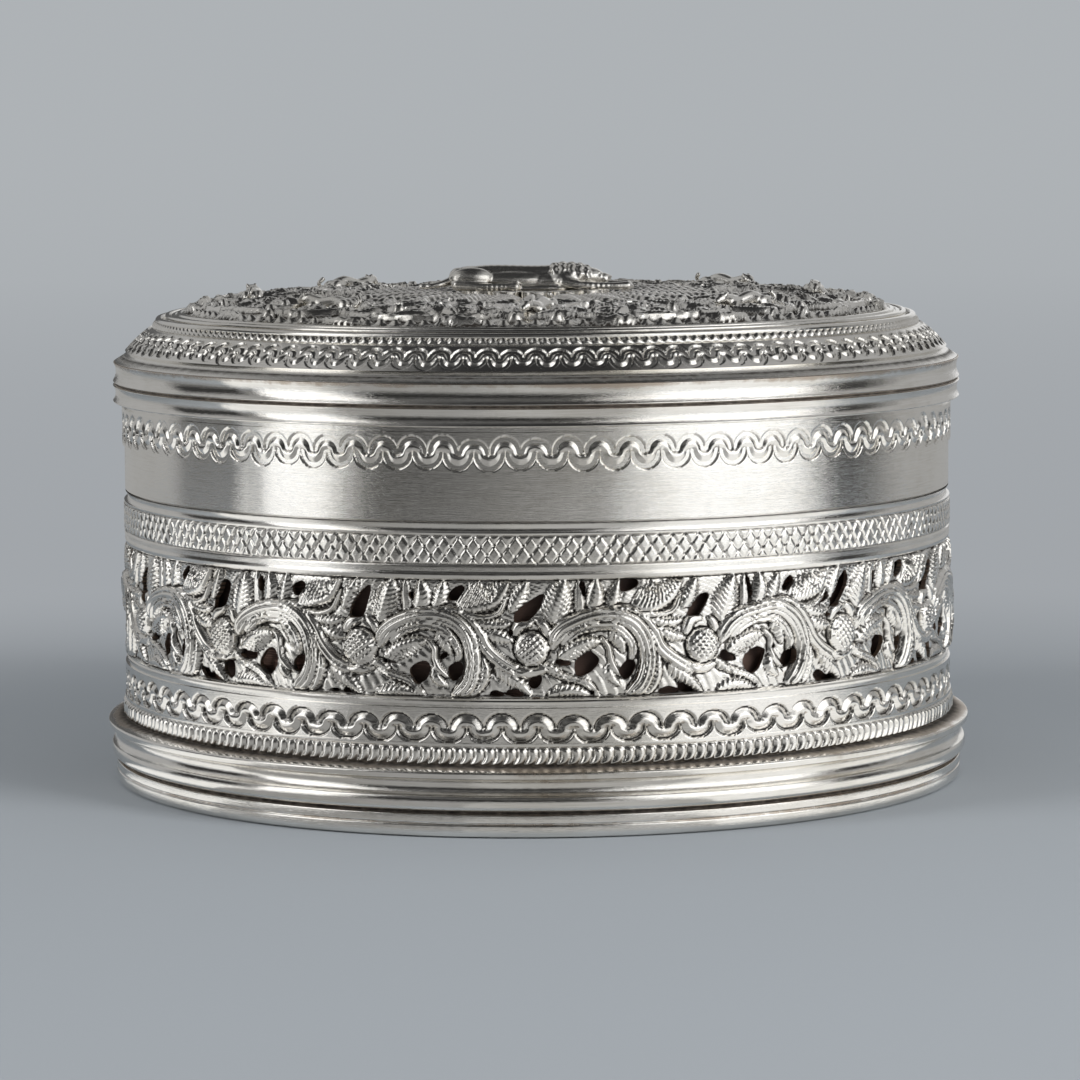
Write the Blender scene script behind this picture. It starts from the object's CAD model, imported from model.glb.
# %% [markdown]
# A round silver box for betel leaves
#
# The real box is raised from sheet silver. Its drum is chased from the outside and pierced
# with a saw, its foot and rim are turned and drawn mouldings, and the lid carries a ring of
# small beasts round a crouching lion. This lesson builds the looks of it round a frame of
# solids whose places are fixed. Lengths are in millimetres until a mesh is made.

# %% Load the frame
import math

import bpy
import mathutils
import numpy as np
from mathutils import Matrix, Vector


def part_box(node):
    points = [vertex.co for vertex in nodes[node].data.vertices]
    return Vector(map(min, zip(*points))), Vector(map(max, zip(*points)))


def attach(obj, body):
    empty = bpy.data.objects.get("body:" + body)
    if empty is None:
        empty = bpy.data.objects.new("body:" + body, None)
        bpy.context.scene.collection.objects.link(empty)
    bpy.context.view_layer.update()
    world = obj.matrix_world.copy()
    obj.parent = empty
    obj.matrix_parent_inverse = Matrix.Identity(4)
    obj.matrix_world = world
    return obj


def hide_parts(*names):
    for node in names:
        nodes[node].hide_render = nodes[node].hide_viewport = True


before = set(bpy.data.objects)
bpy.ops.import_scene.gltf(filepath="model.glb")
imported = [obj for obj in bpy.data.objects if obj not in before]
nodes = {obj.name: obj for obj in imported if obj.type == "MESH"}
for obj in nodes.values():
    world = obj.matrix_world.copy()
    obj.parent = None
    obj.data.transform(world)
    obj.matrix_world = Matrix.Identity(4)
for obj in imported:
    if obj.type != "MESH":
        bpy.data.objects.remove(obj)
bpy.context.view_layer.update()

MM = 0.001
print("solids in the frame:", len(nodes))


# %% [markdown]
# Sizes
#
# Every band of the box is named by the wire or moulding at its edge, so its levels are read
# from the boxes of those solids. Only gauges and the dome's curve, which a box can't say,
# are written here.

# %% Sizes from the frame
def span(node):
    """Return a round node's reach from the axis and its lowest and highest level."""
    low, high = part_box(node)
    return high.x / MM, low.z / MM, high.z / MM


DRUM = span("lid_wall")[0]
WALL_GAUGE = 1.0
DRUM_BORE = DRUM - WALL_GAUGE
FOOT_TOP = span("foot_moulding")[2]
ROPE_TOP = span("rope_border")[2]
LOW_BEAD = span("lower_bead_wire")
HIGH_BEAD = span("upper_bead_wire")
SEAT_BEAD = span("seat_bead")
RIDGE = span("lid_ridge_wire")
RIM_REACH, RIM_BASE, RIM_TOP = span("lid_rim_moulding")
PLATE_TOP = span("finial_plate")[2]
BEAST_TOP = span("finial_beast")[2]
print("drum radius", round(DRUM, 2), "rim", round(RIM_REACH, 2), "top", round(BEAST_TOP, 2))

DOME_REACH = DRUM - 0.2
DOME_BASE = RIM_TOP + 0.9
SHOULDER_WIDTH = 12.6
SHOULDER_TOP = DOME_BASE + 6.3
DOME_TOP = SHOULDER_TOP + 1.4
SHOULDER_RELIEF = 1.6
CROWN_RELIEF = 0.35
DOME_GAUGE = 0.8
SCROLL_COUNT = 16
SCROLL_PHASE = -12.5
print("dome from", round(DOME_BASE, 2), "to", round(DOME_TOP, 2), "scrolls", SCROLL_COUNT)


# %% [markdown]
# Tools for shaping
#
# Two ways of working cover the whole box. A turned piece is an outline spun round the axis,
# as the smith's moulding is drawn and bent round. A chased piece is a grid laid out flat on
# the pitch, given its heights, and then bent round the drum or the dome. Chasing could be
# faked with a bump map, but then the edges of the leaves and the holes would be flat.

# %% Selecting one piece
def clear_selection():
    """Deselect everything, because operators act on all that is selected."""
    if bpy.context.object and bpy.context.object.mode != "OBJECT":
        bpy.ops.object.mode_set(mode="OBJECT")
    bpy.ops.object.select_all(action="DESELECT")


def take(piece):
    """Select one piece and make it the active one."""
    clear_selection()
    piece.select_set(True)
    bpy.context.view_layer.objects.active = piece


# %% Vertices as rows of numbers
def positions(piece):
    """Return the places of a mesh's vertices as rows of x, y and z, in metres."""
    flat = np.empty(len(piece.data.vertices) * 3, np.float32)
    piece.data.vertices.foreach_get("co", flat)
    return flat.reshape(-1, 3).astype(float)


def set_positions(piece, places):
    """Give a mesh's vertices their places, in metres."""
    piece.data.vertices.foreach_set("co", np.ascontiguousarray(places, np.float32).ravel())
    piece.data.update()


def mark(piece, name, values):
    """Keep one number per vertex, which the finishes read as an attribute."""
    attribute = piece.data.attributes.get(name) or piece.data.attributes.new(
        name, "FLOAT", "POINT")
    attribute.data.foreach_set("value", np.ascontiguousarray(values, np.float32).ravel())


# %% Finishing a piece
def soften(piece, degrees=45):
    """Shade smooth, but keep edges sharper than an angle."""
    take(piece)
    bpy.ops.object.shade_smooth_by_angle(angle=math.radians(degrees))


def report(piece):
    """Print a piece's name and size in triangles."""
    triangles = sum(len(face.vertices) - 2 for face in piece.data.polygons)
    print(f"{piece.name}: {triangles} triangles")


def finish_piece(piece, body, slot, stands_for, *finishes):
    """Put a finished piece on its body with its finishes, and name what it stands for."""
    for finish in finishes:
        piece.data.materials.append(finish)
    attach(piece, body)
    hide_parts(*stands_for)
    report(piece)
    return piece


# %% Arcs
def arc(start, end, bulge, steps=10):
    """Return points from after start to end on an arc that stands off its chord by bulge.

    The arc bends to the left of its way where bulge is more than nothing.
    """
    start = np.array(start, float)
    end = np.array(end, float)
    chord = end - start
    half = np.linalg.norm(chord) / 2
    left = np.array([-chord[1], chord[0]]) / (2 * half)
    radius = (half * half + bulge * bulge) / (2 * abs(bulge))
    side = 1 if bulge > 0 else -1
    centre = (start + end) / 2 - left * side * (radius - abs(bulge))
    first = math.atan2(*(start - centre)[::-1])
    sweep = 2 * math.asin(min(1, half / radius)) * -side
    turns = first + sweep * np.arange(1, steps + 1) / steps
    return [tuple(centre + radius * np.array([math.cos(a), math.sin(a)])) for a in turns]


print("an arc of four steps:", [(round(x, 2), round(y, 2)) for x, y in arc((0, 0), (4, 0), 1, 4)])


# %% Eased corners
def eased(outline, cut):
    """Round every sharp corner of a closed outline by a small cut."""
    rounded = []
    for index, corner in enumerate(outline):
        here = np.array(corner, float)
        before = np.array(outline[index - 1], float) - here
        after = np.array(outline[(index + 1) % len(outline)], float) - here
        reach_before = np.linalg.norm(before)
        reach_after = np.linalg.norm(after)
        bend = before @ after / (reach_before * reach_after)
        if bend < -0.94 or here[0] < cut:
            rounded.append(tuple(here))
            continue
        first = here + before / reach_before * min(cut, reach_before * 0.4)
        last = here + after / reach_after * min(cut, reach_after * 0.4)
        for share in (0, 0.25, 0.5, 0.75, 1):
            point = first * (1 - share) ** 2 + here * 2 * share * (1 - share) + last * share ** 2
            rounded.append(tuple(point))
    return rounded


# %% Unevenness and dark creases
def hand_wave(turn, height, seed, amount):
    """Return the slow unevenness of hand-raised metal at angles and heights."""
    draw = np.random.default_rng(seed)
    wave = np.zeros_like(turn)
    for lobes in (2, 3, 5, 7, 11, 17):
        slope, shift = draw.uniform(-0.25, 0.25), draw.uniform(0, math.tau)
        wave += draw.uniform(0.4, 1) * np.sin(lobes * turn + slope * height + shift) / lobes ** 0.7
    return wave * amount


def near_creases(radius, height, creases):
    """Return 1 in the creases, each a radius, a height and a width, and 0 away from them."""
    total = np.zeros_like(radius)
    for crease_radius, crease_height, width in creases:
        far = np.hypot(radius - crease_radius, height - crease_height)
        total = np.maximum(total, np.exp(-(far / width) ** 2))
    return total


# %% A turned piece
TURN_STEPS = 240
print("turned pieces have", TURN_STEPS, "steps round the axis")


def turn_outline(name, outline, seed=1, wobble=0.02, cut=0.12, dirt=(), stain=()):
    """Spin a closed outline of (radius, height) round the axis.

    dirt names the creases that are dark, and stain those where polish has dried brown.
    """
    points = [(r * MM, 0, z * MM) for r, z in eased(outline, cut)]
    clear_selection()
    bpy.ops.mesh.primitive_circle_add(vertices=len(points), radius=0.01)
    piece = bpy.context.object
    piece.name = name
    piece.data.name = name
    set_positions(piece, np.array(points))
    bpy.ops.object.mode_set(mode="EDIT")
    bpy.ops.mesh.select_all(action="SELECT")
    bpy.ops.mesh.spin(steps=TURN_STEPS, angle=math.tau, center=(0, 0, 0), axis=(0, 0, 1))
    bpy.ops.mesh.select_all(action="SELECT")
    bpy.ops.mesh.remove_doubles(threshold=1e-6)
    bpy.ops.mesh.normals_make_consistent(inside=False)
    bpy.ops.object.mode_set(mode="OBJECT")
    places = positions(piece)
    turn = np.arctan2(places[:, 0], -places[:, 1])
    radius = np.hypot(places[:, 0], places[:, 1])
    height = places[:, 2] / MM
    stretch = 1 - np.abs(hand_wave(turn, height, seed, wobble)) * MM / np.maximum(radius, MM)
    places[:, :2] *= stretch[:, None]
    set_positions(piece, places)
    mark(piece, "recess", near_creases(radius / MM, height, dirt))
    mark(piece, "stain", near_creases(radius / MM, height, stain))
    soften(piece, 32)
    return piece


# %% [markdown]
# Chasing tools
#
# The sheet keeps a height for every point of a fine grid. Each chasing tool is a function
# that raises or sinks the metal near a line: a stem with its lines, a leaf with its ribs, a
# bud, a saw cut. A sculpted mesh could be bent instead, but strokes that are written as
# lines can be laid a little differently each time, as a hand lays them.

# %% The sheet
MOAT_WIDTH = 0.2
CREASE_FULL = 0.22
HOLLOW_START = 0.15
HOLLOW_FULL = 0.6


class ChasedSheet:
    """A flat sheet: places across and up it, and the height, cover and saw cuts there."""

    def __init__(self, across, up):
        self.x, self.y = np.meshgrid(across, up)
        self.height = np.zeros_like(self.x)
        self.cover = np.full_like(self.x, -9.0)
        self.cut = np.full_like(self.x, -9.0)

    def near(self, points, margin):
        """Return the window of the grid round some points."""
        low = points.min(axis=0) - margin
        high = points.max(axis=0) + margin
        columns = np.searchsorted(self.x[0], (low[0], high[0]))
        rows = np.searchsorted(self.y[:, 0], (low[1], high[1]))
        return slice(rows[0], rows[1]), slice(columns[0], columns[1])

    def lay(self, window, form, inside, moat=0.08, under=0.3):
        """Lay a form over what is there, with a chased line along its edge."""
        height = self.height[window]
        raised = form + np.maximum(height, 0) * under
        line = moat * np.exp(-(np.minimum(inside, 0) / MOAT_WIDTH) ** 2)
        self.height[window] = np.where(inside > 0, np.maximum(raised, form), height - line)
        self.cover[window] = np.maximum(self.cover[window], inside)

    def recess(self, reach):
        """Return how far each point lies in a crease or a hollow, from 0 to 1."""
        crease = blurred(self.height, 1) - self.height
        hollow = blurred(self.height, reach) - self.height
        deep = np.clip(hollow - HOLLOW_START, 0, 1)
        return np.clip(crease / CREASE_FULL + deep / HOLLOW_FULL, 0, 1)


# %% Blurred heights
def blurred(values, reach):
    """Return values averaged over a square, twice over."""
    for _ in range(2):
        for axis in (0, 1):
            pad = [(0, 0), (0, 0)]
            pad[axis] = (reach + 1, reach)
            total = np.cumsum(np.pad(values, pad, mode="edge"), axis=axis)
            size = 2 * reach + 1
            if axis == 0:
                values = (total[size:] - total[:-size]) / size
            else:
                values = (total[:, size:] - total[:, :-size]) / size
    return values


# %% Lines to work along
def smooth_line(points, steps=9):
    """Return a smooth line through points."""
    points = np.array(points, float)
    padded = np.vstack([2 * points[0] - points[1], points, 2 * points[-1] - points[-2]])
    shares = np.arange(steps)[:, None] / steps
    line = []
    for a, b, c, d in zip(padded, padded[1:], padded[2:], padded[3:]):
        line.append(0.5 * (2 * b + (c - a) * shares + (2 * a - 5 * b + 4 * c - d) * shares ** 2
                           + (3 * b - a - 3 * c + d) * shares ** 3))
    return np.vstack([*line, points[-1:]])


def follow(sheet, points, margin):
    """Return the window near a line, and there how far along and aside of it each place is."""
    line = smooth_line(points)
    window = sheet.near(line, margin)
    place = np.stack([sheet.x[window], sheet.y[window]], axis=-1)[..., None, :]
    start = line[:-1]
    step = line[1:] - start
    length = np.linalg.norm(step, axis=1)
    run = np.concatenate([[0], np.cumsum(length)])
    share = np.clip(((place - start) * step).sum(-1) / length ** 2, 0, 1)
    offset = place - (start + step * share[..., None])
    far = np.linalg.norm(offset, axis=-1)
    nearest = far.argmin(axis=-1)
    pick = np.ix_(*map(range, nearest.shape)) + (nearest,)
    aside = offset[pick]
    side = np.sign(step[nearest, 0] * aside[..., 1] - step[nearest, 1] * aside[..., 0])
    along = run[nearest] + share[pick] * length[nearest]
    return window, along, far[pick] * np.where(side == 0, 1, side), run[-1]


# %% A chased line and a stem
STROKE_MARGIN = 0.8
STEM_LINE = 0.16


def groove(offset, width):
    """Return 1 in the middle of a chased line and 0 away from it."""
    return np.exp(-(offset / width) ** 2)


def stem(sheet, points, half_wide, rise, lines=2):
    """Raise a rounded stem with chased lines along it."""
    window, along, aside, length = follow(sheet, points, half_wide + STROKE_MARGIN)
    taper = np.clip(np.minimum(along + 0.25, length - along) / 1.6, 0, 1) ** 0.6
    half = half_wide * (0.3 + 0.7 * taper)
    share = np.clip(np.abs(aside) / half, 0, 1)
    form = rise * (0.6 + 0.4 * taper) * np.sqrt(1 - share ** 2)
    for index in range(lines):
        middle = (2 * (index + 1) / (lines + 1) - 1) * half
        form = form - 0.34 * groove(aside - middle, STEM_LINE)
    sheet.lay(window, form, half - np.abs(aside))


# %% A ribbed leaf
RIB_PITCH = 0.64
RIB_SLANT = 0.75
VEIN_LINE = 0.13
print("ribs of the leaves stand", RIB_PITCH, "mm apart")


def leaf(sheet, points, left, right, rise, ribs=1.0):
    """Raise a leaf whose ribs sweep from its vein towards the tip."""
    window, along, aside, length = follow(sheet, points, max(left, right) + STROKE_MARGIN)
    share = np.clip(along / length, 0.001, 0.999)
    plump = share ** 0.45 * (1 - share) ** 0.7 / 0.46
    phase = (along - np.abs(aside) * RIB_SLANT) / RIB_PITCH
    notch = 1 - 0.16 * ribs * (0.5 - 0.5 * np.cos(math.tau * phase))
    half = np.where(aside > 0, left, right) * plump * notch
    ratio = np.clip(np.abs(aside) / np.maximum(half, 0.05), 0, 1)
    form = rise * (1 - ratio ** 2.4) * (0.65 + 0.35 * np.sin(math.pi * share)) + 0.08
    ramp = phase % 1
    rib = ramp * np.clip((1 - ramp) / 0.22, 0, 1)
    form = form - 0.40 * ribs * rib * np.clip((np.abs(aside) - 0.1) / 0.25, 0, 1)
    form = form - 0.14 * groove(aside, VEIN_LINE) * (share > 0.04)
    sheet.lay(window, form, half - np.abs(aside))


# %% A crossed bud
BUD_PITCH = 0.82
print("crossed lines of the buds stand", BUD_PITCH, "mm apart")


def bud(sheet, centre, radius, rise):
    """Raise a round bud with crossed lines in a plain collar."""
    centre = np.array(centre, float)
    window = sheet.near(centre[None], radius + STROKE_MARGIN)
    x = sheet.x[window] - centre[0]
    y = sheet.y[window] - centre[1]
    far = np.hypot(x, y)
    share = np.clip(far / radius, 0, 1)
    form = 0.25 + rise * np.sqrt(1 - share ** 2 * 0.96)
    core = np.clip((0.82 - share) / 0.08, 0, 1)
    for cross in (x + y * 0.8, x * 0.8 - y):
        form = form - 0.24 * core * groove((cross / BUD_PITCH + 0.5) % 1 - 0.5, 0.17)
    form = form - 0.25 * groove(share - 0.88, 0.06)
    sheet.lay(window, form, radius - far, moat=0.3, under=0)


# %% A saw cut
SAW_SIDES = 5


def saw(sheet, centre, long_half, wide_half, lean, draw):
    """Saw out the ground in a patch with a few uneven straight sides."""
    centre = np.array(centre, float)
    window = sheet.near(centre[None], long_half + 0.6)
    slope = math.radians(lean)
    x = sheet.x[window] - centre[0]
    y = sheet.y[window] - centre[1]
    along = (x * math.cos(slope) + y * math.sin(slope)) / long_half
    across = (y * math.cos(slope) - x * math.sin(slope)) / wide_half
    far = np.zeros_like(along)
    for side in range(SAW_SIDES):
        turn = math.tau * (side + draw.uniform(-0.3, 0.3)) / SAW_SIDES
        out = (along * math.cos(turn) + across * math.sin(turn)) / draw.uniform(0.68, 1.0)
        far = far + np.maximum(out, 0) ** 5
    inside = (1 - far ** 0.2) * min(long_half, wide_half)
    sheet.cut[window] = np.maximum(sheet.cut[window], inside)


# %% A grid bent round the drum
def grid_piece(name, columns, rows):
    """Add a grid of columns and rows of vertices."""
    clear_selection()
    bpy.ops.mesh.primitive_grid_add(x_subdivisions=columns - 1, y_subdivisions=rows - 1, size=2)
    piece = bpy.context.object
    piece.name = name
    piece.data.name = name
    if len(piece.data.vertices) != columns * rows:
        raise RuntimeError(f"{name}: the grid has {len(piece.data.vertices)} vertices")
    return piece


def round_drum(across, up, height, radius):
    """Bend places on the sheet round the drum, whose front is towards -Y."""
    turn = across / radius
    reach = radius + height
    return np.stack([reach * np.sin(turn), -reach * np.cos(turn), up], axis=-1) * MM


# %% A whole ring
def chased_ring(name, sheet, bend, back, deep=3):
    """Make a whole ring from a sheet that meets itself, closed by a plain back."""
    rows, columns = sheet.x.shape
    piece = grid_piece(name, columns, rows + 3)
    across = np.vstack([sheet.x[:1], sheet.x, sheet.x[-1:], sheet.x[:1]])
    up = np.vstack([sheet.y[:1], sheet.y, sheet.y[-1:], sheet.y[:1]])
    plain = np.full((1, columns), back)
    height = np.vstack([plain, sheet.height, plain, plain])
    set_positions(piece, bend(across, up, height).reshape(-1, 3))
    recess = np.pad(sheet.recess(deep), ((1, 2), (0, 0)))
    mark(piece, "recess", recess)
    take(piece)
    bpy.ops.object.mode_set(mode="EDIT")
    bpy.ops.mesh.select_all(action="SELECT")
    bpy.ops.mesh.remove_doubles(threshold=1e-7)
    bpy.ops.object.mode_set(mode="OBJECT")
    soften(piece, 60)
    return piece


def round_sheet(radius, low, high, pitch_count, columns_each, row_size):
    """Return an empty sheet for a whole band, with whole columns in every repeat."""
    columns = pitch_count * columns_each + 1
    across = np.linspace(-math.pi * radius, math.pi * radius, columns)
    rows = round((high - low) / row_size) + 1
    return ChasedSheet(across, np.linspace(low, high, rows))


# %% [markdown]
# Finishes
#
# One class wraps a socket, so that a finish is written as a sum. All the silver is one metal:
# bright where it is rubbed, grey where breath and sulphur reach it, nearly black in the
# chased lines and brown where polish has dried. The chased pieces carry their own "recess"
# numbers, so the dark follows the real hollows and not a picture.

# %% A socket in sums
class Socket:
    """One output of a node, which can be used in sums."""

    def __init__(self, finish, output):
        self.finish = finish
        self.output = output

    def sum_with(self, operation, first, second):
        """Return the output of a sum of two values."""
        return self.finish.node("ShaderNodeMath", {"operation": operation}, first, second)

    def __add__(self, other):
        return self.sum_with("ADD", self, other)

    def __radd__(self, other):
        return self.sum_with("ADD", other, self)

    def __sub__(self, other):
        return self.sum_with("SUBTRACT", self, other)

    def __rsub__(self, other):
        return self.sum_with("SUBTRACT", other, self)

    def __mul__(self, other):
        return self.sum_with("MULTIPLY", self, other)

    def __rmul__(self, other):
        return self.sum_with("MULTIPLY", other, self)

    def limited(self):
        """Return the value held between 0 and 1."""
        return self.finish.node("ShaderNodeClamp", {}, self)

    def above(self, low, high):
        """Return 0 below low, 1 above high and a smooth step between."""
        return self.finish.node("ShaderNodeMapRange", {"interpolation_type": "SMOOTHSTEP"},
                                self, low, high, 0.0, 1.0)


# %% A finish
class Finish:
    """A material and its nodes."""

    def __init__(self, name):
        self.material = bpy.data.materials.new(name)
        self.material.use_nodes = True
        self.tree = self.material.node_tree
        self.shader = self.tree.nodes["Principled BSDF"]

    def node(self, kind, settings, *inputs, output=0, **named):
        """Add a node with its settings, then its inputs, and return one of its outputs."""
        made = self.tree.nodes.new(kind)
        for key, value in settings.items():
            setattr(made, key, value)
        for socket, value in zip(made.inputs, inputs):
            self.feed(socket, value)
        for key, value in named.items():
            self.feed(made.inputs[key.replace("_", " ")], value)
        return Socket(self, made.outputs[output])

    def feed(self, socket, value):
        """Link or set one input."""
        if value is None:
            return
        if isinstance(value, Socket):
            self.tree.links.new(value.output, socket)
        else:
            socket.default_value = value

    def place(self):
        """Return where a point of the piece is."""
        return self.node("ShaderNodeTexCoord", {}, output="Object")

    def number(self, name):
        """Return a number that the piece keeps for its vertices."""
        return self.node("ShaderNodeAttribute", {"attribute_name": name}, output="Fac")

    def stretched(self, across, up):
        """Return the place, scaled across and up."""
        return self.node("ShaderNodeMapping", {}, self.place(), None, None, (across, across, up))

    def noise(self, vector, scale, detail=3.0, rough=0.5):
        """Return noise around 0.5."""
        return self.node("ShaderNodeTexNoise", {}, vector, None, scale, detail, rough)

    def mix(self, share, first, second):
        """Return a colour between two."""
        made = self.tree.nodes.new("ShaderNodeMix")
        made.data_type = "RGBA"
        self.feed(made.inputs["Factor"], share)
        self.feed(made.inputs[6], first)
        self.feed(made.inputs[7], second)
        return Socket(self, made.outputs[2])

    def set(self, **values):
        """Feed the shader's own inputs."""
        for key, value in values.items():
            self.feed(self.shader.inputs[key.replace("_", " ")], value)


def colour(red, green, blue):
    """Return a colour with full cover."""
    return (red, green, blue, 1.0)


# %% Silver
BRIGHT_SILVER = colour(0.94, 0.92, 0.88)
GREY_SILVER = colour(0.70, 0.67, 0.60)
OXIDE = colour(0.055, 0.048, 0.042)
POLISH_BROWN = colour(0.36, 0.25, 0.16)
SAWN_BROWN = colour(0.22, 0.16, 0.13)
SAWN_DARK = colour(0.11, 0.075, 0.06)


def silver(name, polish, grime, stain, bright=BRIGHT_SILVER, dull=GREY_SILVER):
    """Return silver whose roughness away from the rubbed spots is polish."""
    finish = Finish(name)
    recess = finish.number("recess")
    dried = finish.number("stain")
    place = finish.place()
    clouds = finish.noise(place, 55.0, 4.0, 0.6)
    specks = finish.noise(place, 900.0, 3.0, 0.6)
    rubs = finish.noise(finish.stretched(1.0, 26.0), 210.0, 4.0, 0.65)
    scratches = finish.noise(finish.stretched(1.0, 60.0), 620.0, 2.0, 0.5)
    tarnish = (clouds * 0.7 + rubs * 0.35).above(0.42, 0.72)
    dark = (recess * grime + (specks - 0.5) * recess * 0.8).above(0.28, 1.05)
    brown = (dried * 0.55 + recess * 0.4 + clouds * 0.9
             + specks * 0.35).above(1.16 - stain, 1.42 - stain)
    metal = finish.mix(tarnish * 0.65, bright, dull)
    warm = finish.mix(brown * 0.6, metal, POLISH_BROWN)
    finish.set(
        Base_Color=finish.mix(dark, warm, OXIDE),
        Metallic=1.0 - dark * 0.35,
        Roughness=(polish + tarnish * 0.09 + (rubs - 0.5) * 0.10 + dark * 0.45
                   + brown * 0.22).limited(),
    )
    bump = finish.node("ShaderNodeBump", {}, 0.16, 0.00012,
                       Height=scratches * 0.55 + rubs * 0.3 + specks * 0.25)
    finish.set(Normal=bump)
    return finish.material


polished_silver = silver("polished_silver", polish=0.05, grime=1.0, stain=0.15)
chased_silver = silver("chased_silver", polish=0.08, grime=1.2, stain=0.18)
beast_silver = silver("beast_silver", polish=0.20, grime=1.3, stain=0.34)
sawn_silver = silver("sawn_silver", polish=0.42, grime=1.0, stain=0.46,
                     bright=SAWN_BROWN, dull=SAWN_DARK)
inner_silver = silver("inner_silver", polish=0.30, grime=1.0, stain=0.10)
print("silver finishes:", [made.name for made in (polished_silver, chased_silver, beast_silver,
                                                  sawn_silver, inner_silver)])


# %% Copper and brass
DARK_COPPER = colour(0.10, 0.065, 0.052)
BROWN_COPPER = colour(0.19, 0.12, 0.092)
RUBBED_COPPER = colour(0.72, 0.45, 0.36)
BRIGHT_BRASS = colour(0.66, 0.50, 0.24)
DULL_BRASS = colour(0.36, 0.26, 0.13)


def copper(name):
    """Return copper gone brown, with a few rubbed pink places."""
    finish = Finish(name)
    place = finish.place()
    clouds = finish.noise(place, 70.0, 5.0, 0.6)
    rubs = finish.noise(finish.stretched(1.0, 12.0), 260.0, 4.0, 0.6)
    rubbed = (clouds * 0.6 + rubs * 0.5).above(0.60, 0.76)
    brown = finish.mix(clouds.above(0.35, 0.7), DARK_COPPER, BROWN_COPPER)
    finish.set(
        Base_Color=finish.mix(rubbed, brown, RUBBED_COPPER),
        Metallic=0.35 + rubbed * 0.6,
        Roughness=(0.62 - rubbed * 0.22 + (rubs - 0.5) * 0.2).limited(),
    )
    finish.set(Normal=finish.node("ShaderNodeBump", {}, 0.25, 0.0002, Height=rubs))
    return finish.material


def brass(name):
    """Return turned brass with fine tool lines."""
    finish = Finish(name)
    clouds = finish.noise(finish.place(), 300.0, 4.0, 0.6)
    lines = finish.noise(finish.stretched(1.0, 30.0), 900.0, 2.0, 0.5)
    finish.set(
        Base_Color=finish.mix(clouds.above(0.4, 0.7), BRIGHT_BRASS, DULL_BRASS),
        Metallic=1.0,
        Roughness=(0.28 + clouds * 0.15).limited(),
    )
    finish.set(Normal=finish.node("ShaderNodeBump", {}, 0.2, 0.0001, Height=lines))
    return finish.material


liner_copper = copper("liner_copper")
fixing_brass = brass("fixing_brass")
print("inside finishes:", liner_copper.name, fixing_brass.name)


# %% [markdown]
# Mouldings and plain walls
#
# The foot is a drawn moulding: a flange, a hollow, a half-round and a lip. It is spun from
# its outline. The solids of the frame are right here too, but hand-bent wire is never quite
# true, and that unevenness is what breaks up the reflections on polished silver.

# %% Foot
FOOT = DRUM + 1.7
FOOT_BORE = 54.6
foot_outline = [
    (FOOT_BORE, 0), (FOOT - 0.8, 0), (FOOT - 0.22, 0.22), (FOOT, 0.6), (FOOT, 1.62),
    (FOOT - 0.16, 1.75), (FOOT - 0.16, 1.9), (FOOT, 2.02), (FOOT, 3.0),
    (FOOT - 0.55, 3.05), (FOOT - 0.55, 3.4), (FOOT, 3.5),
    *arc((FOOT, 3.5), (FOOT + 0.55, 5.4), -0.42),
    *arc((FOOT + 0.55, 5.4), (FOOT + 0.6, 7.7), 0.82, 14),
    (FOOT + 1.05, 7.75), (FOOT + 1.1, 8.45), (FOOT + 0.9, 8.62), (DRUM + 0.7, FOOT_TOP),
    (DRUM_BORE, FOOT_TOP), (DRUM_BORE, 2.0), (FOOT_BORE, 2.0),
]
foot = turn_outline("foot_band", foot_outline, seed=3, wobble=0.018, cut=0.14, dirt=[
    (FOOT - 0.5, 3.22, 0.3), (FOOT + 0.62, 7.72, 0.1), (DRUM + 0.7, FOOT_TOP, 1.6)],
    stain=[(FOOT - 0.1, 1.82, 0.3), (DRUM + 0.9, FOOT_TOP, 2.2), (FOOT - 0.3, 3.2, 0.6)])
finish_piece(foot, "box", "plain_silver", ["foot_moulding"], polished_silver)


# %% Half-round wires
def half_round(name, node, body, relief=0.45, seed=1, inner=DRUM - 0.3):
    """Spin the half-round wire that a node of the frame stands for."""
    low, high = span(node)[1:]
    outline = [(inner, low), (DRUM, low), *arc((DRUM, low), (DRUM, high), relief, 12),
               (inner, high)]
    wire = turn_outline(name, outline, seed=seed, wobble=0.03, cut=0.03,
                        dirt=[(DRUM, low, 0.22), (DRUM, high, 0.22)])
    return finish_piece(wire, body, "plain_silver", [node], polished_silver)


half_round("lower_bead", "lower_bead_wire", "box", seed=5)
half_round("upper_bead", "upper_bead_wire", "box", seed=6)
half_round("seat_ring", "seat_bead", "box", relief=0.3, seed=7, inner=DRUM_BORE)
half_round("ridge_ring", "lid_ridge_wire", "lid", relief=0.55, seed=8)

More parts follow.
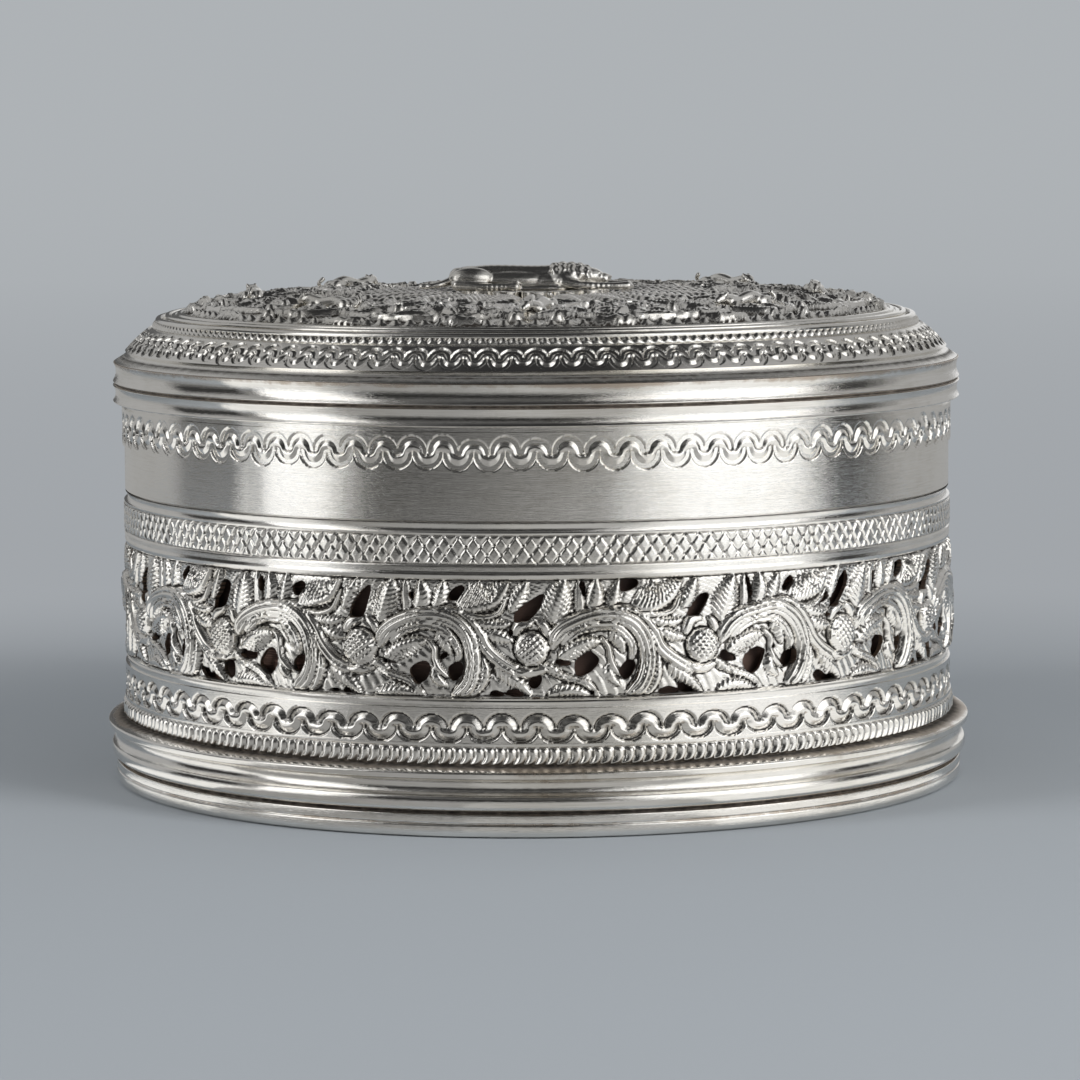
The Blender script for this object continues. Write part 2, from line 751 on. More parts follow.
# %% Rim of the lid
RIM_FACE = RIM_REACH - 0.4
rim_outline = [
    (DRUM - 0.3, RIM_BASE), (RIM_FACE - 0.2, RIM_BASE), (RIM_FACE, RIM_BASE + 0.15),
    *arc((RIM_FACE, RIM_BASE + 0.15), (RIM_FACE, RIM_BASE + 2.3), 0.38, 12),
    (RIM_FACE - 0.32, RIM_BASE + 2.42), (RIM_FACE - 0.32, RIM_BASE + 2.68),
    (RIM_FACE, RIM_BASE + 2.85),
    *arc((RIM_FACE, RIM_BASE + 2.85), (RIM_FACE - 0.1, RIM_TOP - 0.1), 0.38, 12),
    (RIM_FACE - 0.35, RIM_TOP), (DRUM - 0.3, RIM_TOP),
]
rim = turn_outline("lid_rim", rim_outline, seed=11, wobble=0.03, cut=0.1, dirt=[
    (RIM_FACE - 0.36, RIM_BASE + 2.55, 0.22), (DRUM + 0.2, RIM_BASE, 0.4),
    (RIM_FACE - 0.6, RIM_TOP, 0.4)],
    stain=[(RIM_FACE - 0.5, RIM_TOP, 1.0), (RIM_FACE - 0.3, RIM_BASE + 2.55, 0.5)])
finish_piece(rim, "lid", "plain_silver", ["lid_rim_moulding"], polished_silver)


# %% [markdown]
# The pierced scrolls
#
# Sixteen running scrolls go round the drum. In each a ridged stem leaves a crossed bud,
# arches over and curls in on itself, a second stem slips off its back to the next bud, and
# ribbed leaves fill the corners. Between them the ground is sawn away. One scroll is written
# once, as lines in millimetres from its middle, and every copy is laid a little differently.

# %% One scroll
SCROLL_STEMS = [
    ([(0.0, 11.9), (2.6, 11.0), (4.7, 9.0), (6.0, 6.8), (7.9, 5.0), (10.0, 4.1),
      (11.6, 4.5)], 0.85, 0.9, 1),
    ([(-8.2, 7.4), (-7.2, 9.0), (-5.4, 10.2), (-2.9, 11.0), (-0.4, 11.1), (1.9, 10.3),
      (3.4, 8.6), (4.1, 6.4), (4.1, 4.3), (3.3, 2.3), (1.6, 0.7)], 1.12, 1.1, 2),
    ([(-6.6, 7.7), (-4.6, 9.2), (-2.2, 9.8), (0.2, 9.4), (1.7, 8.0), (2.3, 6.4),
      (1.9, 5.0)], 0.58, 0.85, 1),
    ([(-1.9, 8.2), (-0.9, 7.0), (-0.7, 5.2), (0.4, 3.7), (1.5, 3.2)], 0.4, 0.65, 0),
    ([(-8.4, 4.0), (-6.2, 3.3), (-4.0, 2.4), (-2.0, 0.7)], 0.48, 0.65, 1),
    ([(3.0, 11.3), (5.4, 10.9), (7.5, 11.6), (8.7, 13.9)], 0.34, 0.6, 0),
]
SCROLL_LEAVES = [
    ([(-8.1, 10.0), (-7.4, 12.4), (-6.3, 15.7)], 1.75, 1.7, 0.7, 1.0),
    ([(-4.9, 11.0), (-4.6, 12.2), (-4.7, 15.8)], 0.5, 0.5, 0.35, 0.0),
    ([(-2.9, 11.6), (-2.3, 13.4), (-2.5, 15.7)], 1.05, 0.9, 0.6, 0.6),
    ([(-0.6, 11.8), (-0.1, 13.6), (0.5, 15.7)], 0.9, 0.8, 0.5, 1.0),
    ([(2.2, 11.7), (4.8, 12.0), (7.2, 13.0), (8.9, 15.4)], 2.5, 0.6, 0.8, 1.0),
    ([(4.2, 10.5), (6.6, 9.8), (9.0, 10.1)], 0.9, 0.7, 0.6, 1.0),
    ([(5.5, 9.0), (7.4, 8.3), (9.4, 7.9)], 0.85, 0.8, 0.55, 1.0),
    ([(8.9, 11.6), (10.0, 13.4), (11.0, 15.6)], 0.95, 0.9, 0.55, 1.0),
    ([(4.9, 6.9), (5.8, 4.3), (5.2, 2.0), (3.6, 0.5)], 0.5, 1.8, 0.75, 1.0),
    ([(7.0, 4.6), (9.4, 3.0), (11.6, 0.8)], 0.8, 1.15, 0.65, 1.0),
    ([(-8.8, 1.0), (-5.8, 1.5), (-2.4, 0.6)], 0.85, 0.75, 0.6, 1.0),
    ([(-9.9, 4.9), (-8.0, 4.3), (-6.4, 2.9)], 0.5, 0.7, 0.6, 1.0),
    ([(-7.4, 5.6), (-5.6, 7.0), (-3.4, 7.8), (-1.8, 7.9)], 0.9, 1.6, 0.7, 1.0),
    ([(-0.6, 9.3), (0.6, 8.2), (1.3, 6.2)], 0.7, 0.95, 0.6, 1.0),
    ([(-0.8, 4.9), (-0.6, 3.3), (0.6, 2.0)], 0.6, 0.6, 0.55, 0.6),
    ([(-12.9, 4.4), (-10.9, 3.9), (-8.7, 4.4)], 0.6, 0.6, 0.6, 0.0),
    ([(-13.1, 8.6), (-12.2, 9.9), (-10.4, 10.3)], 0.55, 0.55, 0.6, 0.0),
    ([(-8.7, 8.4), (-9.1, 9.7), (-10.3, 10.6)], 0.5, 0.5, 0.6, 0.0),
]
SCROLL_BUD = ((-10.8, 6.9), 2.25, 1.05)
SCROLL_HOLES = [
    ((-11.2, 12.0), 2.7, 1.05, 52),
    ((-4.2, 13.6), 1.4, 0.6, 88),
    ((2.0, 14.0), 1.35, 0.85, 40),
    ((-6.6, 4.9), 1.25, 0.62, 2),
    ((-3.1, 4.2), 1.6, 1.3, 70),
    ((2.2, 4.2), 1.25, 0.85, 58),
    ((7.5, 0.9), 1.5, 0.8, -28),
    ((-12.6, 0.8), 1.4, 0.75, -8),
]
SPARE_HOLES = [
    ((-9.6, 2.7), 1.25, 1.1, 80),
    ((9.2, 12.0), 1.0, 0.6, 35),
    ((-0.2, 5.9), 0.7, 0.3, 10),
    ((9.4, 9.2), 0.7, 0.45, 15),
    ((-3.0, 0.7), 0.6, 0.4, 10),
]
SCROLL_PITCH = math.tau * DRUM / SCROLL_COUNT
SCROLL_BASE = LOW_BEAD[2]


print("leaves", len(SCROLL_LEAVES), "stems", len(SCROLL_STEMS), "sure holes", len(SCROLL_HOLES))


# %% Laying a scroll on the sheet
def strayed(draw, points, middle, amount=0.1):
    """Return points moved to a scroll's place, each a little astray."""
    points = np.array(points, float)
    return points + draw.normal(0, amount, points.shape) + (middle, SCROLL_BASE)


def lay_scroll(sheet, middle, index):
    """Lay one scroll of the band on the sheet."""
    draw = np.random.default_rng(400 + index % SCROLL_COUNT)
    for points, left, right, rise, ribs in SCROLL_LEAVES:
        size = draw.uniform(1.15, 1.42)
        leaf(sheet, strayed(draw, points, middle), left * size, right * size,
             rise * draw.uniform(0.85, 1.15), ribs)
    for points, half, rise, lines in SCROLL_STEMS:
        stem(sheet, strayed(draw, points, middle, 0.07), half, rise, lines)
    centre, radius, rise = SCROLL_BUD
    bud(sheet, strayed(draw, centre, middle, 0.12), radius * draw.uniform(0.95, 1.08), rise)
    spare = [hole for hole in SPARE_HOLES if draw.uniform() < 0.5]
    for centre, long_half, wide_half, lean in SCROLL_HOLES + spare:
        size = draw.uniform(0.95, 1.35)
        saw(sheet, strayed(draw, centre, middle, 0.3), long_half * size, wide_half * size,
            lean + draw.uniform(-14, 14), draw)


# %% A quarter of the band
GROUND_SINK = 0.3
LEDGE = 0.75
QUARTERS = 4
BAND_COLUMNS = 464
BAND_ROWS = 90


def edge_ledges(sheet, low, high):
    """Leave a plain ledge with a line along both edges of the band."""
    for edge, sign in ((low, 1), (high, -1)):
        inward = (sheet.y - edge) * sign
        inside = LEDGE - inward
        ledge = 0.42 * np.clip(inside / 0.18, 0, 1)
        ledge = ledge - 0.14 * groove(inward - 0.35, 0.1) * (inside > 0)
        sheet.height = np.where(inside > 0, ledge, sheet.height - 0.15 * groove(inside, 0.2))
        sheet.cover = np.maximum(sheet.cover, inside + 0.35)
        sheet.height = np.where(inward < 0, GROUND_SINK, sheet.height)


def pierced_quarter(number):
    """Chase, pierce and bend one quarter of the scroll band."""
    half = math.pi * DRUM / QUARTERS
    start = math.radians(SCROLL_PHASE) * DRUM - SCROLL_PITCH / 2 + number * 2 * half
    low = (LOW_BEAD[1] + LOW_BEAD[2]) / 2
    high = (HIGH_BEAD[1] + HIGH_BEAD[2]) / 2
    sheet = ChasedSheet(np.linspace(start, start + 2 * half, BAND_COLUMNS),
                        np.linspace(low, high, BAND_ROWS))
    draw = np.random.default_rng(50 + number)
    sheet.height += blurred(draw.normal(0, 1, sheet.height.shape), 2) * 0.2
    swept = sheet.x * 0.6 + (sheet.y - low) ** 2 * 0.05
    sheet.height -= 0.12 * groove((swept / 0.8 + 0.5) % 1 - 0.5, 0.2)
    each = SCROLL_COUNT // QUARTERS
    for step in range(-1, each + 1):
        middle = start + (step + 0.5) * SCROLL_PITCH
        lay_scroll(sheet, middle, number * each + step)
    edge_ledges(sheet, LOW_BEAD[2], HIGH_BEAD[1])
    return cut_and_bend(f"scroll_band_{number + 1}", sheet)


# %% Sawing the sheet
def face_corners(piece):
    """Return the four vertices of every face of a piece."""
    corners = np.empty(len(piece.data.polygons) * 4, np.int32)
    piece.data.polygons.foreach_get("vertices", corners)
    return corners.reshape(-1, 4)


def cut_and_bend(name, sheet):
    """Saw the holes of a sheet, give it its gauge and bend it round the drum."""
    rows, columns = sheet.x.shape
    recess = sheet.recess(3)
    cut = np.minimum(sheet.cut, 0.28 - sheet.cover)
    cut = blurred(cut, 1)
    worn = 0.3 * np.exp(np.minimum(cut, 0) / 0.22) * (cut > -0.9)
    height = sheet.height - worn * np.clip(sheet.height + 0.25, 0, 1)
    dy = sheet.y[1, 0] - sheet.y[0, 0]
    dx = sheet.x[0, 1] - sheet.x[0, 0]
    slope_y, slope_x = np.gradient(cut, dy, dx)
    fall = np.where(cut > 0, -cut / np.maximum(slope_x ** 2 + slope_y ** 2, 0.05), 0)
    reach = np.hypot(fall * slope_x, fall * slope_y)
    fall = fall * np.minimum(1, 1.1 * dx / np.maximum(reach, 1e-9))
    rise_y, rise_x = np.gradient(height, dy, dx)
    height = height + fall * (slope_x * rise_x + slope_y * rise_y)
    across = sheet.x + fall * slope_x
    up = sheet.y + fall * slope_y
    piece = grid_piece(name, columns, rows)
    set_positions(piece, round_drum(across, up, height - GROUND_SINK, DRUM).reshape(-1, 3))
    mark(piece, "recess", np.clip(recess + 0.5 * np.exp(np.minimum(cut, 0) / 0.2), 0, 1))
    gone = cut.ravel()[face_corners(piece)].min(axis=1) > 0
    give_gauge(piece, gone)
    soften(piece, 60)
    return piece


# %% Giving the sheet its gauge
def give_gauge(piece, gone):
    """Delete the sawn faces, then extrude the sheet to its back and mark the sawn walls."""
    take(piece)
    bpy.context.tool_settings.mesh_select_mode = (False, False, True)
    piece.data.polygons.foreach_set("select", gone)
    bpy.ops.object.mode_set(mode="EDIT")
    bpy.ops.mesh.delete(type="FACE")
    bpy.ops.mesh.select_all(action="SELECT")
    bpy.ops.mesh.extrude_region_move(TRANSFORM_OT_translate={"value": (0, 0, 0)})
    bpy.ops.object.mode_set(mode="OBJECT")
    back = np.empty(len(piece.data.vertices), bool)
    piece.data.vertices.foreach_get("select", back)
    places = positions(piece)
    reach = np.hypot(places[:, 0], places[:, 1])
    shrink = np.where(back, DRUM_BORE * MM / reach, 1)
    places[:, :2] *= shrink[:, None]
    set_positions(piece, places)
    bpy.ops.object.mode_set(mode="EDIT")
    bpy.ops.mesh.select_all(action="SELECT")
    bpy.ops.mesh.normals_make_consistent(inside=False)
    bpy.ops.object.mode_set(mode="OBJECT")
    behind = back[face_corners(piece)].sum(axis=1)
    wall = (behind > 0) & (behind < 4)
    piece.data.polygons.foreach_set("material_index", wall.astype(np.int32))


# %% The four quarters
for number in range(QUARTERS):
    band = pierced_quarter(number)
    finish_piece(band, "box", "chased_silver", ["drum_wall"], chased_silver, sawn_silver)


# %% [markdown]
# Borders of the drum
#
# Under the scrolls runs a wave, struck with a crescent punch from above and below so that a
# ribbon stays between the cuts. Over them is a lattice of crossed cuts, and at the foot a
# milled rope. One stroke could be modelled and copied round by an array, but then all strokes
# are alike. So each border is a whole ring on its own grid, with whole strokes all round that
# lie a little astray.

# %% Striking a wave
def wave(sheet, pitch, low, high, seed, depth=0.60, slope=1.1):
    """Strike crescents from above and, half a step along, from below.

    Each blow is deepest just inside its outer arc and runs out inwards over the slope.
    """
    draw = np.random.default_rng(seed)
    middle = (low + high) / 2
    tall = (high - low) / 2 - 0.06
    half = 0.5 * pitch
    count = round((sheet.x[0, -1] - sheet.x[0, 0]) / pitch)
    sheet.height += 0.28
    for side, shift in ((1, 0.0), (-1, 0.5)):
        astray = draw.normal(0, 1, (3, count)) * 0.05
        step = sheet.x / pitch + shift
        index = np.round(step).astype(int) % count
        x = (step - np.round(step)) * pitch + astray[0][index]
        y = (sheet.y - middle) * side + astray[1][index]
        reach = np.hypot(x / half, np.maximum(y, 0) / (tall * (1 + astray[2][index])))
        inward = (1 - reach) * (half + tall) / 2
        leg = np.clip((y + 0.45) / 0.5, 0, 1)
        cut = np.clip(inward / 0.12, 0, 1) * np.clip(1 - inward / slope, 0, 1)
        sheet.height -= depth * cut * leg
    return sheet


# %% Wave under the scrolls
def drum_ring(name, sheet, body, replaced, back=-WALL_GAUGE, deep=3):
    """Bend a sheet into a ring round the drum and give it the chased finish."""
    ring = chased_ring(name, sheet, lambda x, y, h: round_drum(x, y, h, DRUM), back, deep)
    return finish_piece(ring, body, "chased_silver", replaced, chased_silver)


LOW_WAVES = 78
low_high = (LOW_BEAD[1] + LOW_BEAD[2]) / 2
lower = round_sheet(DRUM, ROPE_TOP - 0.05, low_high, LOW_WAVES, 27, 0.175)
wave(lower, math.tau * DRUM / LOW_WAVES, ROPE_TOP, LOW_BEAD[1], seed=21)
drum_ring("lower_wave_band", lower, "box", ["drum_wall"])

# %% Lattice over the scrolls
HATCH_LINES = 196
HATCH_SLOPE = 1.36


def hatch(sheet, pitch, low, high, seed):
    """Cut crossed lines that leave rows of diamonds, with a line along both edges."""
    draw = np.random.default_rng(seed)
    sheet.height += 0.22
    square = HATCH_SLOPE / math.hypot(1, HATCH_SLOPE)
    for lean in (1, -1):
        astray = draw.normal(0, 0.055, HATCH_LINES)
        strong = draw.uniform(0.7, 1.15, HATCH_LINES)
        step = (sheet.x + lean * (sheet.y - low) / HATCH_SLOPE) / pitch
        index = np.round(step).astype(int) % HATCH_LINES
        offset = (step - np.round(step) + astray[index]) * pitch * square
        sheet.height -= 0.25 * strong[index] * groove(offset, 0.13)
    inward = np.minimum(sheet.y - low, high - sheet.y)
    edge = 0.16 - 0.2 * groove(inward - 0.14, 0.1)
    sheet.height = np.where(inward < 0.3, edge, sheet.height)
    return sheet


over = round_sheet(DRUM, (HIGH_BEAD[1] + HIGH_BEAD[2]) / 2, SEAT_BEAD[1] + 0.2, HATCH_LINES,
                   12, 0.175)
hatch(over, math.tau * DRUM / HATCH_LINES, HIGH_BEAD[2], SEAT_BEAD[1], seed=22)
drum_ring("hatched_band", over, "box", ["drum_wall"])

# %% Rope at the foot of the drum
ROPE_STROKES = 260
rope = round_sheet(DRUM, FOOT_TOP - 0.05, ROPE_TOP + 0.05, ROPE_STROKES, 8, 0.17)


def strokes(sheet, pitch, low, high):
    """Raise strokes that bow to the right, as a milling wheel leaves them."""
    draw = np.random.default_rng(23)
    up = np.clip((sheet.y - low) / (high - low), 0, 1)
    bowed = sheet.x - 0.42 * (1 - (2 * up - 1) ** 2) - 0.5 * up
    index = np.round(bowed / pitch).astype(int) % ROPE_STROKES
    strong = draw.uniform(0.75, 1.1, ROPE_STROKES)[index]
    ridge = np.abs(np.cos(math.pi * bowed / pitch)) ** 0.8
    ends = np.clip(np.minimum(up, 1 - up) / 0.16, 0, 1) ** 0.5
    sheet.height += 0.2 + 0.48 * ridge * ends * strong
    line = (sheet.y > high) * 1.0
    sheet.height = sheet.height * (1 - line) + line * (0.4 - 0.2 * groove(sheet.y - high, 0.08))


strokes(rope, math.tau * DRUM / ROPE_STROKES, FOOT_TOP, ROPE_TOP - 0.5)
drum_ring("rope_band", rope, "box", ["rope_border"], deep=2)

# %% Wave border of the lid
HIGH_WAVES = 90
upper = round_sheet(DRUM, RIDGE[2] - 0.3, RIM_BASE - 0.7, HIGH_WAVES, 25, 0.175)
wave(upper, math.tau * DRUM / HIGH_WAVES, RIDGE[2], RIM_BASE - 1.2, seed=24)
drum_ring("upper_wave_band", upper, "lid", [], back=-0.4)


# %% [markdown]
# The dome
#
# The lid's dome is raised from one sheet: a steep shoulder and a nearly flat crown. Its
# chasing could be displaced straight up, but on the shoulder that smears. It is worked on
# sheets too, laid along the dome's own line, so that a height stands square to the metal.

# %% The dome's line
CROWN_EDGE = DOME_REACH - SHOULDER_WIDTH
dome_line = np.array([
    (DOME_REACH, DOME_BASE),
    *arc((DOME_REACH, DOME_BASE), (CROWN_EDGE, SHOULDER_TOP), -SHOULDER_RELIEF, 40),
    *arc((CROWN_EDGE, SHOULDER_TOP), (0, DOME_TOP), -CROWN_RELIEF, 80),
])
dome_run = np.concatenate([[0], np.cumsum(np.hypot(*np.diff(dome_line, axis=0).T))])
dome_slope = np.gradient(dome_line, dome_run, axis=0)
print("along the dome from its edge to its middle:", round(dome_run[-1], 2), "mm")


def run_at(radius):
    """Return how far along the dome's line it reaches a radius."""
    return float(np.interp(-radius, -dome_line[:, 0], dome_run))


def square_to_dome(run):
    """Return how far out and how far up a step square to the dome goes."""
    out = np.interp(run, dome_run, dome_slope[:, 1])
    rise = np.interp(run, dome_run, -dome_slope[:, 0])
    return out, rise


def round_dome(across, up, height, radius):
    """Bend places on a sheet over the dome; up is measured along its line."""
    turn = across / radius
    out, rise = square_to_dome(up)
    reach = np.interp(up, dome_run, dome_line[:, 0]) + height * out
    level = np.interp(up, dome_run, dome_line[:, 1]) + height * rise
    return np.stack([reach * np.sin(turn), -reach * np.cos(turn), level], axis=-1) * MM


# %% The bare dome
STUD_BORE = span("finial_stud")[0] + 0.05
dome_outline = [
    (DRUM_BORE, RIM_TOP), (RIM_FACE - 0.3, RIM_TOP), (DOME_REACH + 0.35, DOME_BASE - 0.25),
    (DOME_REACH, DOME_BASE),
    *arc((DOME_REACH, DOME_BASE), (CROWN_EDGE, SHOULDER_TOP), -SHOULDER_RELIEF, 16),
    *arc((CROWN_EDGE, SHOULDER_TOP), (STUD_BORE, DOME_TOP), -CROWN_RELIEF, 16),
    (STUD_BORE, DOME_TOP - DOME_GAUGE),
    *arc((STUD_BORE, DOME_TOP - DOME_GAUGE), (CROWN_EDGE, SHOULDER_TOP - DOME_GAUGE),
         CROWN_RELIEF, 16),
    *arc((CROWN_EDGE, SHOULDER_TOP - DOME_GAUGE), (DRUM_BORE, DOME_BASE), SHOULDER_RELIEF, 16),
]
dome = turn_outline("dome_shell", dome_outline, seed=14, wobble=0.0, cut=0.1, dirt=[
    (DOME_REACH + 0.6, DOME_BASE - 0.5, 0.7), (52.9, 61.8, 0.5), (47.5, 64.2, 0.6)])
finish_piece(dome, "lid", "chased_silver", ["lid_dome"], chased_silver)


# %% Rings laid on the dome
def dome_sheet(outer, inner, count, columns_each, row_size):
    """Return an empty sheet between two radii of the dome."""
    middle = (outer + inner) / 2
    sheet = round_sheet(middle, run_at(outer), run_at(inner), count, columns_each, row_size)
    return middle, sheet


def dome_ring(name, middle, sheet, sink=0.5):
    """Bend a dome sheet into a ring that is sunk a little in the dome."""
    ring = chased_ring(name, sheet, lambda x, y, h: round_dome(x, y, h, middle), -sink)
    return finish_piece(ring, "lid", "chased_silver", [], chased_silver)


# %% Wave border of the dome
DOME_WAVES = 112
BORDER_EDGES = (56.3, 53.2)
WAVE_EDGES = (56.1, 53.4)
border_middle, border = dome_sheet(*BORDER_EDGES, DOME_WAVES, 17, 0.17)
wave(border, math.tau * border_middle / DOME_WAVES, run_at(WAVE_EDGES[0]),
     run_at(WAVE_EDGES[1]), seed=31, depth=0.62, slope=0.9)
dome_ring("dome_wave_border", border_middle, border)

# %% Dashes and fine rings
DASHES = 250
DASH_EDGES = (52.7, 51.4)
dash_middle, dashes = dome_sheet(*DASH_EDGES, DASHES, 6, 0.13)
dash_step = dashes.x / (math.tau * dash_middle / DASHES)
dash_up = (dashes.y - dashes.y[0, 0]) / (dashes.y[-1, 0] - dashes.y[0, 0])
dashes.height += 0.08 + 0.52 * (np.sin(math.pi * dash_up) ** 0.6
                               * np.abs(np.cos(math.pi * (dash_step + dash_up * 0.3))) ** 0.7)
dome_ring("dome_dash_row", dash_middle, dashes)

RING_EDGES = (51.0, 48.5)
RING_PITCH = 0.86
ring_middle, rings = dome_sheet(*RING_EDGES, 96, 6, 0.12)
across_rings = rings.y - rings.y[0, 0]
rings.height += 0.3 - 0.4 * groove((across_rings / RING_PITCH + 0.5) % 1 - 0.5, 0.17)
dome_ring("dome_fine_rings", ring_middle, rings)


# %% [markdown]
# The field of the dome
#
# Inside the rings eight beasts run through leaves, with a flower between each two and a row of
# pearls at the edge. The leaves are chased in the sheet, and the ground between them is
# matted with a blunt punch, which a noise of heights stands for. The beasts stand higher than
# a chased sheet can and were worked from behind, so they are made apart in the next step.

# %% Lines of the field
FIELD_STEMS = [
    ([(-15.5, 2.0), (-12.0, 3.6), (-9.6, 7.0), (-10.4, 11.5), (-13.2, 13.6), (-15.6, 12.4),
      (-15.9, 9.6), (-14.0, 8.4)], 0.62, 0.85, 1),
    ([(-9.9, 6.0), (-6.0, 3.4), (-1.5, 2.2), (3.0, 2.0), (7.5, 3.0), (10.0, 6.0)], 0.55, 0.8, 1),
    ([(10.0, 6.0), (11.6, 10.0), (9.6, 13.8), (5.2, 15.2), (1.0, 14.6)], 0.55, 0.8, 1),
    ([(-10.0, 11.0), (-7.0, 14.6), (-3.0, 15.8), (0.6, 15.4)], 0.5, 0.75, 1),
]
FIELD_LEAVES = [
    ([(-12.0, 4.0), (-13.6, 5.6), (-14.0, 8.0)], 0.9, 1.2, 0.8),
    ([(-9.8, 9.0), (-7.2, 9.8), (-6.0, 12.4)], 1.3, 1.3, 0.9),
    ([(-6.0, 3.4), (-5.6, 5.6), (-7.2, 7.6)], 1.0, 1.2, 0.8),
    ([(-1.0, 2.2), (0.6, 4.0), (3.2, 4.6)], 1.0, 1.0, 0.8),
    ([(4.0, 2.2), (6.2, 0.9), (9.6, 1.0)], 0.9, 0.9, 0.7),
    ([(-3.0, 2.2), (-5.2, 0.9), (-8.6, 0.9)], 0.9, 0.9, 0.7),
    ([(10.2, 6.4), (13.0, 6.0), (15.0, 4.0)], 1.1, 1.1, 0.8),
    ([(11.4, 9.6), (13.8, 10.8), (14.8, 13.8)], 1.2, 1.0, 0.9),
    ([(8.6, 14.4), (10.6, 16.0), (13.4, 16.4)], 0.9, 0.9, 0.7),
    ([(5.6, 15.2), (5.0, 12.6), (6.6, 10.4)], 1.1, 1.1, 0.8),
    ([(0.0, 15.2), (0.6, 17.2), (3.4, 17.8)], 0.8, 0.8, 0.7),
    ([(-5.0, 15.4), (-5.8, 17.2), (-8.8, 17.8)], 0.8, 0.8, 0.7),
    ([(-2.0, 15.6), (-2.6, 12.8), (-4.6, 11.6)], 1.0, 1.0, 0.8),
    ([(-9.4, 13.0), (-11.0, 15.6), (-14.4, 16.6)], 1.0, 1.0, 0.8),
    ([(-15.0, 5.0), (-17.0, 6.8), (-17.2, 9.6)], 1.1, 1.1, 0.8),
    ([(14.0, 8.0), (12.0, 9.4), (12.4, 12.0)], 1.2, 1.2, 0.8),
    ([(2.4, 8.4), (5.0, 7.6), (7.6, 8.6)], 1.2, 1.2, 0.8),
    ([(1.6, 12.8), (-0.2, 10.8), (-0.4, 8.0)], 1.1, 1.1, 0.8),
    ([(8.6, 11.6), (9.6, 9.2), (8.4, 7.2)], 1.0, 1.0, 0.8),
    ([(-8.6, 13.2), (-9.0, 10.8), (-11.4, 9.6)], 1.0, 1.0, 0.8),
    ([(6.6, 17.6), (9.0, 17.8), (11.4, 17.6)], 0.6, 0.6, 0.7),
    ([(-2.6, 17.8), (-0.8, 17.4), (1.0, 17.9)], 0.5, 0.5, 0.7),
]
FIELD_BOSSES = [
    (-14.4, 10.8, 1.5), (-8.2, 4.9, 0.8), (8.4, 4.6, 0.8), (-3.6, 9.0, 0.9),
    (13.2, 16.0, 0.8), (-12.4, 1.6, 0.8), (12.6, 2.4, 0.8),
]
print("field leaves", len(FIELD_LEAVES), "stems", len(FIELD_STEMS), "bosses", len(FIELD_BOSSES))

# %% Matted ground and pearls
FIELD_EDGES = (48.4, 27.0)
FIELD_PARTS = 8
PEARL_PITCH = 1.62
PEARL_HALF = 0.5
field_middle, field = dome_sheet(*FIELD_EDGES, FIELD_PARTS, 120, 0.28)
field_pitch = math.tau * field_middle / FIELD_PARTS
pearl_x = ((field.x / PEARL_PITCH + 0.5) % 1 - 0.5) * PEARL_PITCH
pearl_y = field.y - field.y[0, 0] - 0.9
field.height += np.random.default_rng(77).normal(0, 0.06, field.height.shape)
field.height += 0.12 + 0.6 * np.exp(-(np.hypot(pearl_x, pearl_y) / PEARL_HALF) ** 4)
print("one eighth of the field is", round(field_pitch, 2), "mm along its middle line")

# %% Leaves and flowers of the field
FIELD_STRETCH = 1.16
LEAF_SPREAD = 1.4
FLOWER = (2.0, 10.4)
FLOWER_PETALS = 8
for part in range(-1, FIELD_PARTS + 1):
    draw = np.random.default_rng(700 + part % FIELD_PARTS)
    base = ((part + 0.5) * field_pitch - math.pi * field_middle, field.y[0, 0])
    side = 1 if part % 2 else -1
    for points, left, right, rise in FIELD_LEAVES:
        points = np.array(points) * (side, FIELD_STRETCH) + draw.normal(0, 0.2, (3, 2)) + base
        leaf(field, points, left * LEAF_SPREAD, right * LEAF_SPREAD,
             rise * draw.uniform(1.1, 1.7))
    flower = np.array(FLOWER) * (side, 1) + base
    for turn in np.arange(FLOWER_PETALS) * math.tau / FLOWER_PETALS:
        way = np.array((math.cos(turn), math.sin(turn)))
        leaf(field, [flower + way * reach for reach in (1.4, 3.2, 5.0)], 1.25, 1.25, 1.1)
    bud(field, flower, 1.9, 1.3)
    for points, half, rise, lines in FIELD_STEMS:
        stem(field, np.array(points) * (side, FIELD_STRETCH) + base, half * 1.2, rise * 1.4,
             lines)
    for across, up, radius in FIELD_BOSSES:
        boss = np.array((across, up)) * (side, FIELD_STRETCH) + base
        bud(field, boss, radius, 1.0 + 0.3 * radius)
dome_ring("dome_field", field_middle, field, sink=0.4)

# %% [markdown]
# Petals of the crown
#
# Twenty-four petals ring the flat crown, from the leaves to the lion's plate. Each is a round
# tongue with a line down its middle and ribs across it, and a boss stands between each two.
# A petal could be made once and turned round the axis, but one sheet over all of them keeps
# the ground between them in one skin. The heights are written as sums of the grid's places.

# %% Petals round the finial
PETALS = 24
PETAL_EDGES = (26.6, 12.0)
PETAL_LONG = PETAL_EDGES[0] - PETAL_EDGES[1]
PETAL_RIBS = 12
BOSS_HALF = 0.8
petal_middle, petals = dome_sheet(*PETAL_EDGES, PETALS, 26, 0.26)
petal_pitch = math.tau * petal_middle / PETALS
petal_up = (petals.y - petals.y[0, 0]) / (petals.y[-1, 0] - petals.y[0, 0])
petal_x = (petals.x / petal_pitch + 0.5) % 1 - 0.5
petal_half = 0.46 * np.sqrt(np.clip(petal_up / 0.3, 0, 1)) * (1 - 0.1 * petal_up)
petal_share = np.clip(np.abs(petal_x) / np.maximum(petal_half, 0.01), 0, 1)
petals.height += 0.1 + 0.85 * (1 - petal_share ** 2.5) * np.sin(math.pi * petal_up) ** 0.4
petals.height -= 0.25 * groove(petal_x, 0.035) * (petal_up > 0.1)
petal_ribs = petal_up * PETAL_RIBS + petal_share * 1.5
